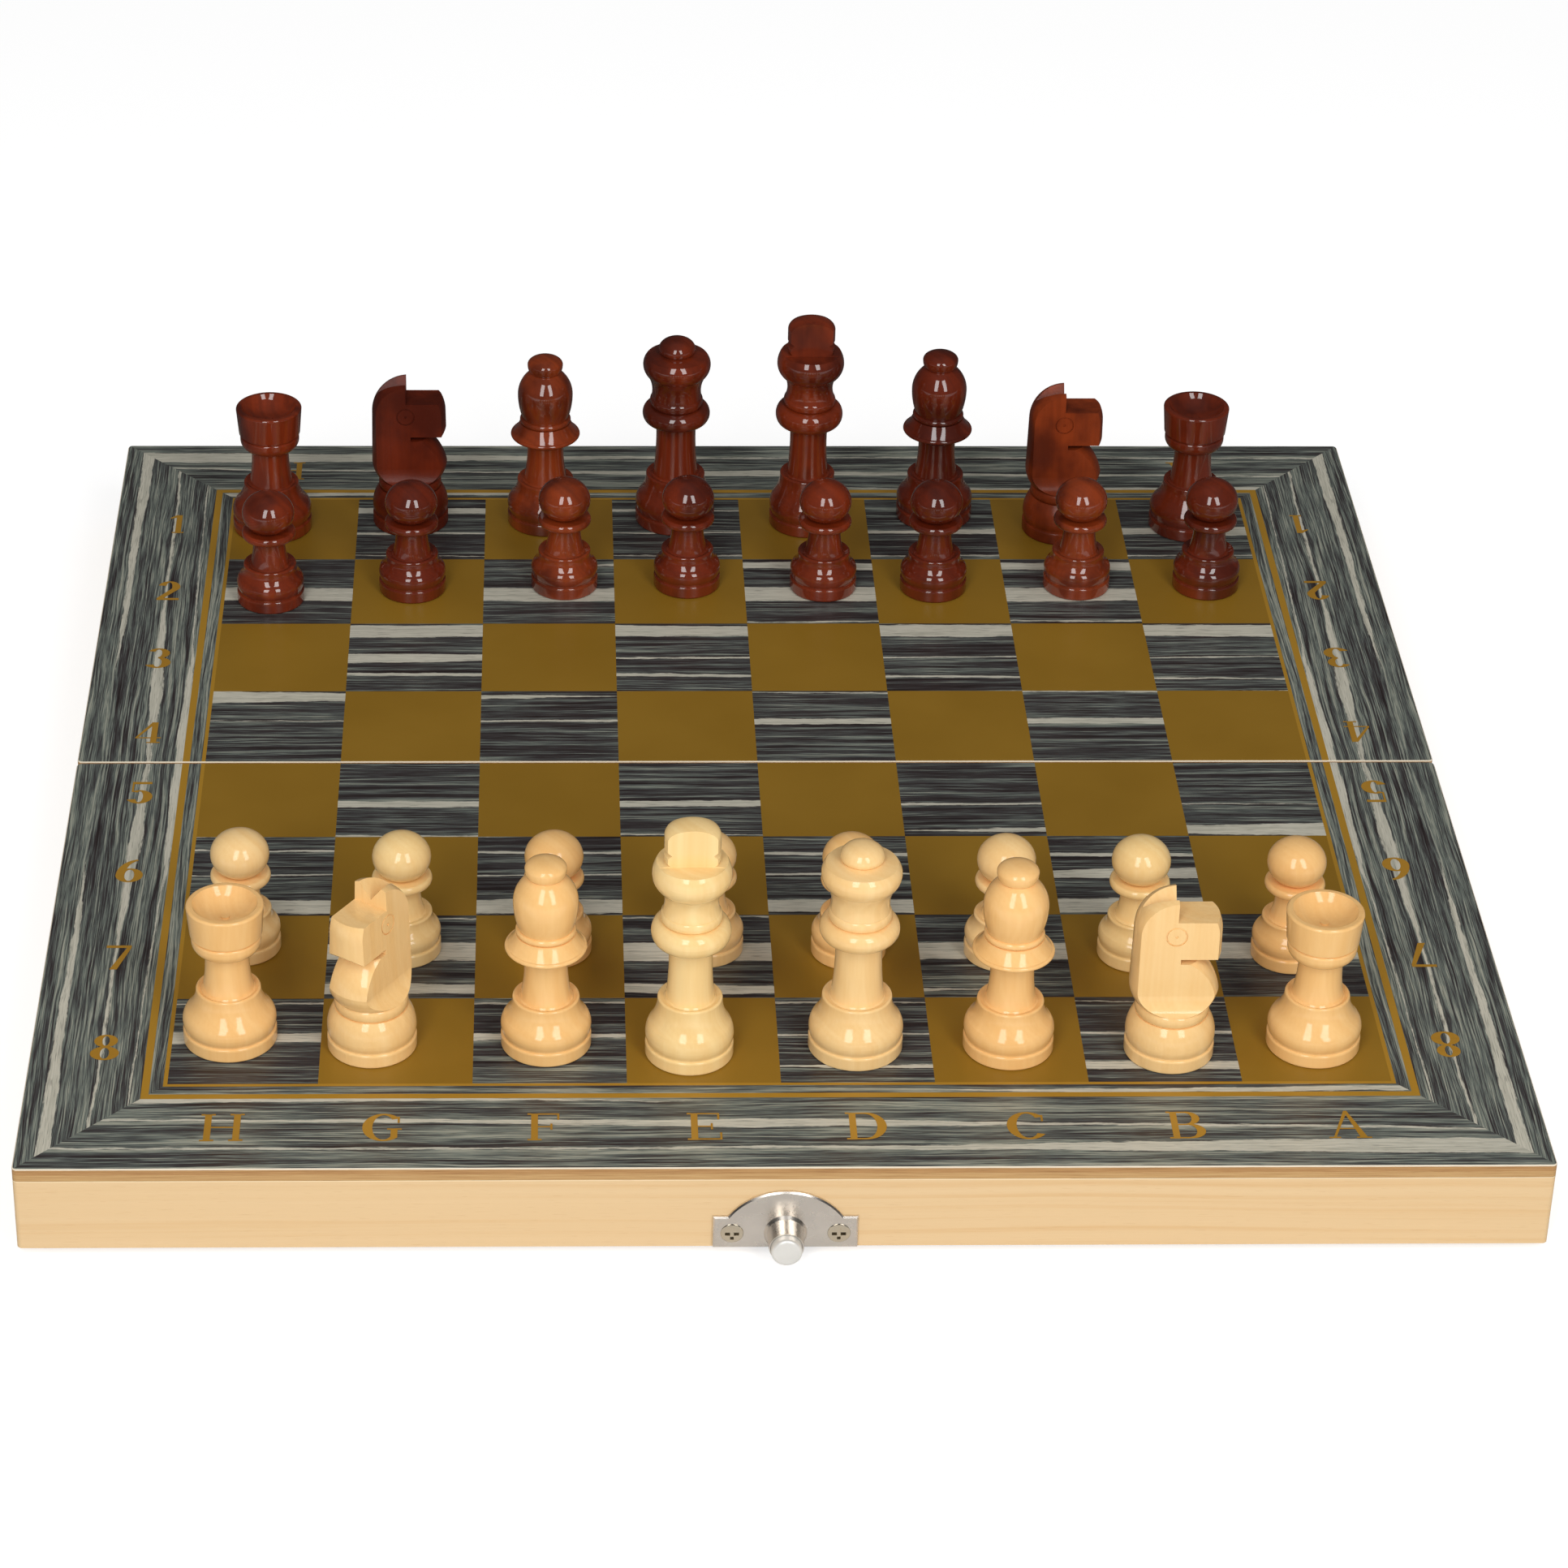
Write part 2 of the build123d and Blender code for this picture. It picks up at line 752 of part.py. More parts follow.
def rook():
    rows = bell_rows(rook_foot_radius, rook_bell_height, rook_lip_radius, rook_stem_radius)
    neck = rows[-1][1] + rook_stem_height
    ring_top = neck + rook_ring_height
    cup_top = ring_top + groove_width + rook_cup_height
    cup_floor = cup_top - rook_cup_depth
    rows += [
        (rook_neck_radius, neck, -stem_hollow),
        (rook_ring_radius, neck + rook_ring_belly, "under"),
        (rook_ring_radius, ring_top - edge_round, 0),
        (rook_ring_radius - groove_depth, ring_top, "over"),
        (rook_ring_radius - groove_depth, ring_top + groove_width, 0),
        (rook_cup_radius - rook_cup_flare, ring_top + 2 * groove_width, 0),
        (rook_cup_radius, cup_top - edge_round, 0),
        (rook_cup_radius - edge_round, cup_top, "over"),
        (rook_cup_radius - rook_cup_wall, cup_top, 0),
        (rook_dot_radius, cup_floor, -rook_cup_hollow),
        (rook_dot_radius, cup_floor + groove_width, 0),
        (0, cup_floor + groove_width, 0),
    ]
    return turned(rows)


def bishop():
    rows = bell_rows(bishop_foot_radius, bishop_bell_height, bishop_lip_radius, bishop_stem_radius)
    neck = rows[-1][1] + bishop_stem_height
    edge = neck + bishop_collar_height
    rows += [
        (bishop_neck_radius, neck, -stem_hollow),
        (bishop_collar_radius - edge_round, edge - edge_round, -bishop_collar_hollow),
        (bishop_collar_radius, edge, "swell"),
        (bishop_collar_radius - edge_round, edge + edge_round, "close"),
        (bishop_ring_radius, edge + bishop_cone_height, -bishop_cone_hollow),
    ]
    rows = bead(rows, bishop_ring_radius, bishop_ring_height, bead_inset)
    base = rows[-1][1]
    ball_top = base + bishop_ball_height
    rows += [
        (bishop_ball_seat, base, 0),
        (bishop_ball_radius, base + bishop_ball_height / 2, "swell"),
        (bishop_button_seat, ball_top, "close"),
        (bishop_button_radius, ball_top + bishop_button_height / 2, "under"),
        (top_flat, ball_top + bishop_button_height, "over"),
        (0, ball_top + bishop_button_height, 0),
    ]
    return turned(rows)


def crown_rows(rows, collar_radius, collar_height, ring_radius, ring_height):
    """The collar and the ring above a stem, which queen and king share."""
    rows = bead(rows, collar_radius, collar_height, collar_radius - ring_radius)
    return bead(rows, ring_radius, ring_height, bead_inset)


def flare_rows(rows, waist, flare, crown_radius, crown_low, crown_high):
    """A waist, given by its radius and height, that widens by the flare into a crown's bead."""
    ring_top = rows[-1][1]
    waist_radius, waist_height = waist
    base = ring_top + waist_height
    return rows + [
        (waist_radius, ring_top, 0),
        (waist_radius + flare, base, -waist_hollow),
        (crown_radius, base + crown_low, "swell"),
        (crown_radius - crown_inset, base + crown_low + crown_high, "close"),
    ]


def queen():
    rows = bell_rows(queen_foot_radius, queen_bell_height, queen_lip_radius, queen_stem_radius)
    rows += [(queen_neck_radius, rows[-1][1] + queen_stem_height, -stem_hollow)]
    rows = crown_rows(
        rows, queen_collar_radius, queen_collar_height, queen_ring_radius, queen_ring_height
    )
    waist = (queen_waist_radius, queen_waist_height)
    rows = flare_rows(
        rows, waist, queen_waist_flare, queen_crown_radius, queen_crown_low, queen_crown_high
    )
    top = rows[-1][1] + queen_crown_slope
    rows += [
        (queen_cap_radius - bead_inset, top, 0),
        (queen_cap_radius, top + queen_cap_belly, "under"),
        (top_flat, top + queen_cap_height, "over"),
        (0, top + queen_cap_height, 0),
    ]
    return turned(rows)


def king():
    rows = bell_rows(king_foot_radius, king_bell_height, king_lip_radius, king_stem_radius)
    rows += [(king_neck_radius, rows[-1][1] + king_stem_height, -stem_hollow)]
    rows = crown_rows(rows, king_collar_radius, king_collar_height, king_ring_radius, king_ring_height)
    waist = (king_waist_radius, king_waist_height)
    rows = flare_rows(
        rows, waist, king_waist_flare, king_crown_radius, king_crown_low, king_crown_high
    )
    base = rows[-1][1] + groove_width
    notch = base + king_finial_lower_height
    top = notch + king_finial_upper_height
    rows += [
        (king_finial_radius - edge_round, base, 0),
        (king_finial_radius, base + edge_round, "under"),
        (king_finial_radius, notch - king_finial_notch, 0),
        (king_finial_radius - king_finial_notch, notch, 0),
        (king_finial_radius, notch + king_finial_notch, 0),
        (king_finial_radius, top - king_finial_dome, 0),
        (top_flat, top, "over"),
        (0, top, 0),
    ]
    blank = turned(rows)
    flat_middle = (king_finial_thickness / 2 + king_crown_radius, (base + top) / 2)
    with BuildPart() as man:
        add(blank)
        with BuildSketch(Plane.YZ):
            with Locations(flat_middle, (-flat_middle[0], flat_middle[1])):
                Rectangle(2 * king_crown_radius, top - base + 2 * groove_width)
        extrude(amount=king_crown_radius, both=True, mode=Mode.SUBTRACT)
    return man.part


def knight():
    """The knight, facing +X: a turned foot, and a head sawn from a turned blank."""
    ring_base = foot_height + groove_width + knight_bulb_height
    rows = foot_rows(knight_foot_radius) + [
        (knight_foot_radius, foot_height + groove_width + bell_belly, "swell"),
        (knight_ring_radius, ring_base, "close"),
    ]
    rows = bead(rows, knight_ring_radius, knight_ring_height, bead_inset)
    ring_top = rows[-1][1]
    top = ring_top + knight_head_height
    foot = turned(rows + [(0, ring_top, 0)])
    blank = turned(
        [
            (0, ring_top, 0),
            (knight_neck_radius, ring_top, 0),
            (knight_chest_radius, ring_top + knight_chest_swell, "swell"),
            (knight_head_radius, top - knight_dome_height, 0),
            (top_flat, top, "over"),
            (0, top, 0),
        ]
    )
    wide = 2 * knight_chest_radius
    ledge = knight_mouth_top - knight_mouth_height
    chest_low = ring_top + knight_chest_belly
    flank_low = knight_flank_low / 2
    cove_top = ring_top + knight_cove_height
    cove_middle = (
        (flank_low + knight_neck_radius) / 2 - knight_cove_hollow,
        (cove_top + ring_top) / 2 - knight_cove_hollow / 2,
    )
    right_side = Plane(origin=(0, 0, 0), x_dir=(0, -1, 0), z_dir=(-1, 0, 0))
    with BuildPart() as man:
        add(blank)
        # The side view: ears, muzzle and mouth
        with BuildSketch(Plane.XZ):
            with BuildLine():
                Polyline(
                    (wide, ring_top),
                    (-wide, ring_top),
                    (-wide, top),
                    (knight_brow, top),
                    (knight_brow, knight_muzzle_top),
                    (wide, knight_muzzle_top),
                    (wide, knight_mouth_top + knight_muzzle_bevel),
                    (knight_chest_radius, knight_mouth_top + knight_muzzle_bevel),
                    (knight_chest_radius - knight_muzzle_bevel, knight_mouth_top),
                    (knight_mouth_back, knight_mouth_top),
                    (knight_mouth_back, ledge),
                    (wide, ledge),
                    close=True,
                )
            make_face()
        extrude(amount=wide, both=True, mode=Mode.INTERSECT)
        # The front view: flat flanks that run out in a cove above the ring
        with BuildSketch(Plane.YZ):
            with BuildLine():
                Polyline((0, top), (knight_flank_high / 2, top), (flank_low, cove_top))
                ThreePointArc((flank_low, cove_top), cove_middle, (knight_neck_radius, ring_top))
                Line((knight_neck_radius, ring_top), (0, ring_top))
                mirror(about=Plane.YZ)
            make_face()
        extrude(amount=wide, both=True, mode=Mode.INTERSECT)
        # The notch between the ears
        with BuildSketch(Plane.YZ):
            with BuildLine():
                Polyline(
                    (0, knight_ear_notch),
                    (wide, knight_ear_notch + wide * knight_ear_slope),
                    (-wide, knight_ear_notch + wide * knight_ear_slope),
                    close=True,
                )
            make_face()
        extrude(amount=wide, both=True, mode=Mode.SUBTRACT)
        # The chest under the mouth, turned with the blank
        with BuildSketch(right_side):
            with BuildLine():
                chest = ThreePointArc(
                    (knight_ledge, ledge),
                    (
                        (knight_ledge + knight_chest_radius) / 2 + knight_chest_round,
                        (ledge + chest_low) / 2 + knight_chest_round,
                    ),
                    (knight_chest_radius, chest_low),
                )
                Polyline(chest @ 1, (wide, chest_low), (wide, ledge), chest @ 0)
            make_face()
        revolve(axis=Axis.Z, revolution_arc=180, mode=Mode.SUBTRACT)
        # An eye scribed on each flank
        for side in (-1, 1):
            flank = Plane(origin=(0, side * flank_low, 0), x_dir=(1, 0, 0), z_dir=(0, -side, 0))
            with BuildSketch(flank):
                with Locations((knight_eye_place, side * knight_eye_height)):
                    Circle(knight_eye_radius)
                    Circle(knight_eye_radius - knight_eye_line, mode=Mode.SUBTRACT)
                    Circle(knight_eye_line)
            extrude(amount=flank_low - knight_eye_floor, mode=Mode.SUBTRACT)
        add(foot)
    return man.part


makers = {
    "pawn": pawn(),
    "rook": rook(),
    "knight": knight(),
    "bishop": bishop(),
    "queen": queen(),
    "king": king(),
}
for colour, ranks in (("light", light_places), ("dark", dark_places)):
    for name, file, rank, off_x, off_y, heading in ranks:
        x = (file - 4.5) * square + off_x
        y = (rank - 4.5) * square + off_y
        with BuildPart() as man:
            with Locations(Location((x, y, board_top), (0, 0, heading))):
                add(makers[name.split("_")[0]])
        finish(man.part, colour + "_" + name)
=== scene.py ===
import bpy
from math import cos, pi, radians, sin
from mathutils import Matrix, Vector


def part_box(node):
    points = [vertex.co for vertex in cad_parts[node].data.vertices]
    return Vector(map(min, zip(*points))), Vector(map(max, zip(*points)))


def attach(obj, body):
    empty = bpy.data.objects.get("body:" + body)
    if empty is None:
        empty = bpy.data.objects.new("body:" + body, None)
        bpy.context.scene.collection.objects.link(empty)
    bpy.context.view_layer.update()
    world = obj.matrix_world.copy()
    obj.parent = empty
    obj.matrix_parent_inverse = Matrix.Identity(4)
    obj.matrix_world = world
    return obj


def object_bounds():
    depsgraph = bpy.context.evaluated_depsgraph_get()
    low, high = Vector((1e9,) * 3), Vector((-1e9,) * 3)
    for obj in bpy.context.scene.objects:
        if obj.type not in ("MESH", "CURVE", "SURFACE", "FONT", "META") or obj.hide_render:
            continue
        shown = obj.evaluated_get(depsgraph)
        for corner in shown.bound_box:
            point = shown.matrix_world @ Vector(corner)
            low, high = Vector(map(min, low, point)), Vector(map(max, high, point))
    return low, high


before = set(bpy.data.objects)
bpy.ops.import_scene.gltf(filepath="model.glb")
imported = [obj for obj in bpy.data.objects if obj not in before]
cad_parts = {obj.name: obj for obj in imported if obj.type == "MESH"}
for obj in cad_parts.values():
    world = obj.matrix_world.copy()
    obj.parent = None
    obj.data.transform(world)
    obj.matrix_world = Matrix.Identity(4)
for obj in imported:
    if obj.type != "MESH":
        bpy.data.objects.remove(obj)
cad_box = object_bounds()
scene = bpy.context.scene
scene.view_settings.view_transform = "Standard"

# Camera. It looks down on the open board from a little left of its middle, with a long lens,
# as in the photograph.
camera_place = (-0.04464, -0.848046, 0.539750)
camera_turn = -0.0252232
camera_dip = 0.5556564
camera_roll = 0.0121241
bpy.ops.object.camera_add(location=camera_place)
camera = bpy.context.object
camera.rotation_euler = (
    Matrix.Rotation(camera_turn, 3, "Z")
    @ Matrix.Rotation(pi / 2 - camera_dip, 3, "X")
    @ Matrix.Rotation(camera_roll, 3, "Z")
).to_euler()
camera.data.sensor_width = 36.0
camera.data.lens = 107.045
camera.data.shift_x = 0.0865
camera.data.shift_y = -0.0004
camera.data.clip_start = 0.01
scene.camera = camera


# Board sheets. Each half of the playing surface is a thin plywood sheet with a printed film on
# both faces: dark striped veneer, gold squares and gold lines outside, points for backgammon
# inside. The two layers of plywood show at the edges, under the pale edge of the film.
class Wire:
    """A socket of a material's nodes. A sum written with it adds Math nodes."""

    def __init__(self, socket):
        self.socket = socket

    def node(self, kind, settings, sockets, out=0):
        """Add a node: its settings first, then what goes into its sockets."""
        tree = self.socket.id_data
        made = tree.nodes.new(kind)
        for name, value in settings.items():
            if name == "stops":
                while len(made.color_ramp.elements) < len(value):
                    made.color_ramp.elements.new(1.0)
                for stop, (place, colour) in zip(made.color_ramp.elements, value):
                    stop.position = place
                    stop.color = (*colour, 1.0)
            else:
                setattr(made, name, value)
        for name, value in sockets.items():
            if isinstance(value, Wire):
                tree.links.new(value.socket, made.inputs[name])
            elif isinstance(value, tuple) and made.inputs[name].type == "RGBA":
                made.inputs[name].default_value = (*value, 1.0)
            else:
                made.inputs[name].default_value = value
        return Wire(made.outputs[out])

    def math(self, operation, *values):
        return self.node("ShaderNodeMath", {"operation": operation}, dict(enumerate(values)))

    def __add__(self, other):
        return self.math("ADD", self, other)

    __radd__ = __add__

    def __sub__(self, other):
        return self.math("SUBTRACT", self, other)

    def __rsub__(self, other):
        return self.math("SUBTRACT", other, self)

    def __mul__(self, other):
        return self.math("MULTIPLY", self, other)

    __rmul__ = __mul__

    def __truediv__(self, other):
        return self.math("DIVIDE", self, other)

    def __abs__(self):
        return self.math("ABSOLUTE", self)

    def floor(self):
        return self.math("FLOOR", self)

    def over(self, edge, soft=0.00002):
        """1 where the value is above the edge, 0 below it, with a soft change."""
        return self.node(
            "ShaderNodeMapRange",
            {"interpolation_type": "SMOOTHSTEP"},
            {"Value": self, "From Min": edge - soft, "From Max": edge + soft},
        )

    def blend(self, low, high):
        """The low colour or value where this mask is 0, and the high one where it is 1."""
        if isinstance(low, (int, float)) or isinstance(high, (int, float)):
            return self.node("ShaderNodeMix", {"data_type": "FLOAT"}, {0: self, 2: low, 3: high})
        return self.node("ShaderNodeMix", {"data_type": "RGBA"}, {0: self, 6: low, 7: high}, 2)

    def ramp(self, stops):
        """Colours along the value, each stop a place and a colour."""
        return self.node("ShaderNodeValToRGB", {"stops": stops}, {"Fac": self})

    def apart(self):
        """The three parts of a place or colour."""
        split = self.node("ShaderNodeSeparateXYZ", {}, {"Vector": self})
        return [Wire(side) for side in split.socket.node.outputs]


def srgb(red, green, blue):
    """A colour as seen on a screen, 0 to 255, as the linear values that a shader takes."""
    parts = [part / 255 for part in (red, green, blue)]
    return tuple(p / 12.92 if p <= 0.04045 else ((p + 0.055) / 1.055) ** 2.4 for p in parts)


def clouds(x, y, z, detail=2.0, roughness=0.5):
    """Soft random patches, 0 to 1, at a place whose parts are already scaled."""
    place = x.node("ShaderNodeCombineXYZ", {}, {0: x, 1: y, 2: z})
    settings = {"noise_dimensions": "3D"}
    sockets = {"Vector": place, "Scale": 1.0, "Detail": detail, "Roughness": roughness}
    return place.node("ShaderNodeTexNoise", settings, sockets)


def finish(name, roughness, metallic=0.0, specular=0.5, coat=0.0, coat_roughness=0.1, coat_ior=1.5):
    """A new material: its shader, its object place as three wires, and the material."""
    made = bpy.data.materials.new(name)
    made.use_nodes = True
    shader = made.node_tree.nodes["Principled BSDF"]
    shader.inputs["Roughness"].default_value = roughness
    shader.inputs["Metallic"].default_value = metallic
    shader.inputs["Specular IOR Level"].default_value = specular
    shader.inputs["Coat Weight"].default_value = coat
    shader.inputs["Coat Roughness"].default_value = coat_roughness
    shader.inputs["Coat IOR"].default_value = coat_ior
    place = Wire(made.node_tree.nodes.new("ShaderNodeTexCoord").outputs["Object"])
    return made, shader, place.apart()


def feed(shader, socket, wire):
    """Let a pattern drive one socket of the shader."""
    shader.id_data.links.new(wire.socket, shader.inputs[socket])


def emboss(shader, height, depth):
    """Raise the surface by a pattern, so much at its highest."""
    bump = height.node("ShaderNodeBump", {}, {"Height": height, "Distance": depth, "Strength": 1.0})
    feed(shader, "Normal", bump)


def put_on(made, *nodes):
    """Give CAD nodes their material."""
    for name in nodes:
        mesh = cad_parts[name].data
        mesh.materials.clear()
        mesh.materials.append(made)


sheet_low, sheet_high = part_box("front_panel")
rail_top, print_top = sheet_low[2], sheet_high[2]
square = 0.02964
field_edge = 4 * square
thin_line_start = 0.11775
thick_line_start = 0.1211
thick_line_end = 0.1226
film_edge = 0.00028
ply_middle = (rail_top + print_top) / 2
tray_edge = 0.137
seam_rail = 0.00825
points_per_tray = 6
point_length = 0.112
veneer_level = 0.485
border_lift = 0.08
gloss = 0.36
raw_edge_roughness = 0.7
grain_depth = 0.00003
cream = srgb(212, 207, 190)
shaded_cream = srgb(176, 174, 158)
gold = srgb(154, 116, 36)
deep_gold = srgb(145, 108, 30)
line_gold = srgb(176, 132, 42)
veneer_stops = [
    (0.28, srgb(40, 34, 33)),
    (0.40, srgb(58, 50, 50)),
    (0.49, srgb(72, 70, 70)),
    (0.55, srgb(94, 99, 95)),
    (0.62, srgb(124, 131, 122)),
    (0.74, srgb(172, 172, 156)),
]
streak_span = 0.3
widest_streak = 4.0
# Pale streaks of the print: the place across the grain, how much it drifts per metre along the
# grain, and the half width in mm at places along the grain
field_streaks = [
    (0.0169, 0.0, [(-0.118, 1.2), (0.0, 1.2), (0.05, 0.5), (0.118, 0.3)]),
    (0.0273, 0.0, [(0.02, 0.0), (0.07, 1.3), (0.118, 2.4)]),
    (0.0292, 0.0, [(-0.118, 0.45), (-0.02, 0.4), (0.02, 0.0)]),
    (0.0362, 0.010, [(-0.118, 0.4), (0.0, 0.7), (0.118, 0.9)]),
    (0.0442, 0.0, [(-0.118, 0.4), (0.03, 0.5), (0.07, 1.9), (0.118, 2.2)]),
    (0.0560, 0.0, [(-0.118, 2.8), (-0.03, 2.5), (0.03, 2.5), (0.118, 2.9)]),
    (0.0602, 0.0, [(-0.118, 0.5), (0.0, 0.3), (0.05, 0.0)]),
    (0.0726, 0.0, [(-0.118, 2.7), (-0.07, 3.0), (0.0, 3.2), (0.118, 3.0)]),
    (0.0857, 0.0, [(-0.118, 2.2), (0.0, 1.6), (0.05, 0.0)]),
    (0.0907, 0.0, [(-0.118, 0.4), (0.05, 0.35), (0.118, 0.3)]),
    (0.1017, -0.006, [(-0.118, 2.2), (-0.03, 0.8), (0.03, 0.4), (0.09, 0.6)]),
    (0.1123, 0.0, [(-0.02, 0.0), (0.05, 1.3), (0.118, 1.8)]),
]
side_streaks = [
    (0.1394, 0.004, [(0.03, 0.0), (0.06, 0.6), (0.11, 1.1), (0.145, 1.6)]),
    (0.1300, 0.0148, [(0.0, 0.5), (0.033, 1.5), (0.07, 0.5), (0.145, 0.4)]),
    (0.1228, 0.014, [(0.0, 1.1), (0.012, 1.5), (0.05, 0.3), (0.145, 0.25)]),
]
end_streaks = [
    (0.1385, 0.0, [(-0.145, 0.4), (0.01, 0.5), (0.07, 1.6), (0.145, 2.8)]),
    (0.1310, 0.015, [(-0.145, 0.3), (-0.06, 0.7), (-0.005, 1.6), (0.05, 0.5), (0.145, 0.35)]),
    (0.1233, 0.0, [(-0.145, 1.1), (-0.05, 0.5), (0.0, 0.0)]),
]
band_streaks = [(0.1203, 0.0, [(0.02, 0.0), (0.06, 0.8), (0.145, 0.9)])]


def streaks(across, along, places):
    """A mask of pale streaks that run along the grain, swelling and thinning on their way."""
    mask = 0.0
    for middle, drift, widths in places:
        stops = [
            (0.5 + place / streak_span, (width / widest_streak,) * 3) for place, width in widths
        ]
        half = (along / streak_span + 0.5).ramp(stops) * (widest_streak / 1000)
        edge = (half - abs(across - middle - along * drift)).over(0.00016, 0.00013)
        mask = edge.math("MAXIMUM", mask, edge)
    return mask


film, shader, (x, y, z) = finish("printed_veneer_film", roughness=gloss, specular=0.3)
# The rear sheet carries the same print as the front one, turned half round
half_turn = y.over(0.0, 0.00001) * 2.0 - 1.0
print_x = x * half_turn * -1.0
away_x, away_y = abs(x), abs(y)
farther = away_x.math("MAXIMUM", away_x, away_y)
outside = farther.over(field_edge)
sideways = (away_x - away_y).over(0.0) * outside
end_border = outside - sideways
along = sideways.blend(print_x, away_y)
across = sideways.blend(away_y, away_x)
sheet = outside.blend(3.0, sideways.blend(11.0, 23.0)) + farther.over(thick_line_start) * 7.0
wander = (clouds(along * 20.0, across * 110.0, sheet, 3.0) - 0.5) * 0.0026
ragged = (clouds(along * 130.0, across * 1100.0, sheet, 4.0, 0.7) - 0.5) * 0.0016
bent = across + wander
fibre = clouds(along * 60.0, bent * 3000.0, sheet, 3.0, 0.7)
tone = clouds(along * 11.0, bent * 620.0, sheet, 4.0, 0.7)
shade = (tone - 0.5) + (fibre - 0.5) * 0.9 + veneer_level + outside * border_lift
striped = shade.ramp(veneer_stops)
streaked = bent + ragged
border_only = farther.over(thick_line_end)
band_only = farther.over(field_edge) * (1 - farther.over(thick_line_start))
pale = streaks(streaked, along, field_streaks) * (1 - outside)
pale = pale + streaks(streaked, along, side_streaks) * sideways * border_only
pale = pale + streaks(streaked, along, end_streaks) * end_border * border_only
pale = pale + streaks(streaked, along, band_streaks) * end_border * band_only
cream_tone = (fibre * 0.6 + tone * 0.4).over(0.46, 0.12).blend(shaded_cream, cream)
dressed = pale.blend(striped, cream_tone)
flecks = clouds(along * 200.0, bent * 4800.0, sheet, 1.0).over(0.64, 0.05)
dressed = (flecks * 0.4).blend(dressed, srgb(38, 34, 35))
column = (x / square + 4.0).floor()
row = (y / square + 4.0).floor()
even = (column + row).math("MODULO", column + row, 2.0)
gold_cloud = clouds(x * 30.0, y * 30.0, z, 3.0)
golden = gold_cloud.over(0.5, 0.25).blend(deep_gold, gold)
thin = farther.over(thin_line_start) * (1 - farther.over(field_edge))
thick = farther.over(thick_line_start) * (1 - farther.over(thick_line_end))
lines = thin + thick
is_gold = lines.math("MAXIMUM", lines, even * (1 - outside))
top_print = is_gold.blend(dressed, lines.blend(golden, line_gold))
# The inside print: a row of points at each end wall of either tray
place_in_row = (away_y - seam_rail) / ((tray_edge - seam_rail) / points_per_tray)
point_number = place_in_row.floor()
point_half = abs(place_in_row - point_number - 0.5) * 2.0
from_wall = (tray_edge - away_x) / point_length
inside_point = 1 - from_wall - point_half
in_point = inside_point.over(0.0, 0.004)
rim_of_point = in_point * (1 - inside_point.over(0.05, 0.004))
turn = point_number + x.over(0.0)
which = turn.math("MODULO", turn, 2.0)
ground_grain = clouds(x * 12.0, y * 700.0, z, 4.0, 0.6)
ground = ground_grain.ramp(
    [(0.3, srgb(176, 140, 96)), (0.55, srgb(206, 172, 126)), (0.75, srgb(218, 190, 148))]
)
inside_print = in_point.blend(ground, which.blend(golden, striped))
inside_print = rim_of_point.blend(inside_print, srgb(42, 36, 34))
# The edges: the film's pale edge, then two layers of plywood
ply_grain = clouds((x + y) * 70.0, z * 5200.0, 0.0, 4.0, 0.65)
upper = ply_grain.ramp(
    [(0.3, srgb(150, 108, 66)), (0.5, srgb(182, 138, 88)), (0.75, srgb(200, 160, 108))]
)
lower = ply_grain.ramp(
    [(0.3, srgb(172, 130, 82)), (0.5, srgb(194, 154, 102)), (0.75, srgb(210, 174, 122))]
)
uneven = clouds((x + y) * 220.0, 0.0, 0.0, 3.0) - 0.5
edges = (z + uneven * 0.0005).over(ply_middle, 0.00012).blend(lower, upper)
pale_edge = (z + uneven * 0.00012).over(print_top - film_edge, 0.00005)
edges = pale_edge.blend(edges, srgb(232, 218, 194))
on_top = z.over(print_top - 0.00004, 0.00002)
below = 1 - z.over(rail_top + 0.00004, 0.00002)
feed(shader, "Base Color", below.blend(on_top.blend(edges, top_print), inside_print))
dullness = (on_top + below).blend(raw_edge_roughness, gloss)
feed(shader, "Roughness", dullness + (fibre - 0.5) * 0.08)
relief = (fibre - 0.5) * on_top * (1 - is_gold) + (ply_grain - 0.5) * (1 - on_top) * 3.0
emboss(shader, relief, grain_depth)
put_on(film, "front_panel", "rear_panel")

# Coordinates. Gold letters along the near and far borders and numbers up the sides, printed
# on the film in a wide face: thick stems and bowls, thin cross strokes and thin feet. Their
# strokes are drawn in mm.
sign_high = 8.6
thin_stroke = 0.5
bowl_steps = 24
half_stem = 0.65
foot_reach = 1.35
print_lift = 0.00003
stroke_lift = 0.00001
gilding, shader, (x, y, z) = finish("gold_print", roughness=gloss, specular=0.3)
gold_cloud = clouds(x * 30.0, y * 30.0, z, 3.0)
feed(shader, "Base Color", gold_cloud.over(0.5, 0.25).blend(srgb(168, 123, 38), srgb(184, 136, 46)))


def bar(left, low, right, high):
    """A straight stroke, as the corners of its outline in mm."""
    return [(left, low), (right, low), (right, high), (left, high)]


def stem(middle, left_feet=(0.0, 8.18), right_feet=(0.0, 8.18), high=sign_high):
    """A thick upright with thin feet at the heights given on either side."""
    left, right = middle - half_stem, middle + half_stem
    strokes = [bar(left, 0.0, right, high)]
    for foot in left_feet:
        strokes.append(bar(middle - foot_reach, foot, left, foot + thin_stroke))
    for foot in right_feet:
        strokes.append(bar(right, foot, middle + foot_reach, foot + thin_stroke))
    return strokes


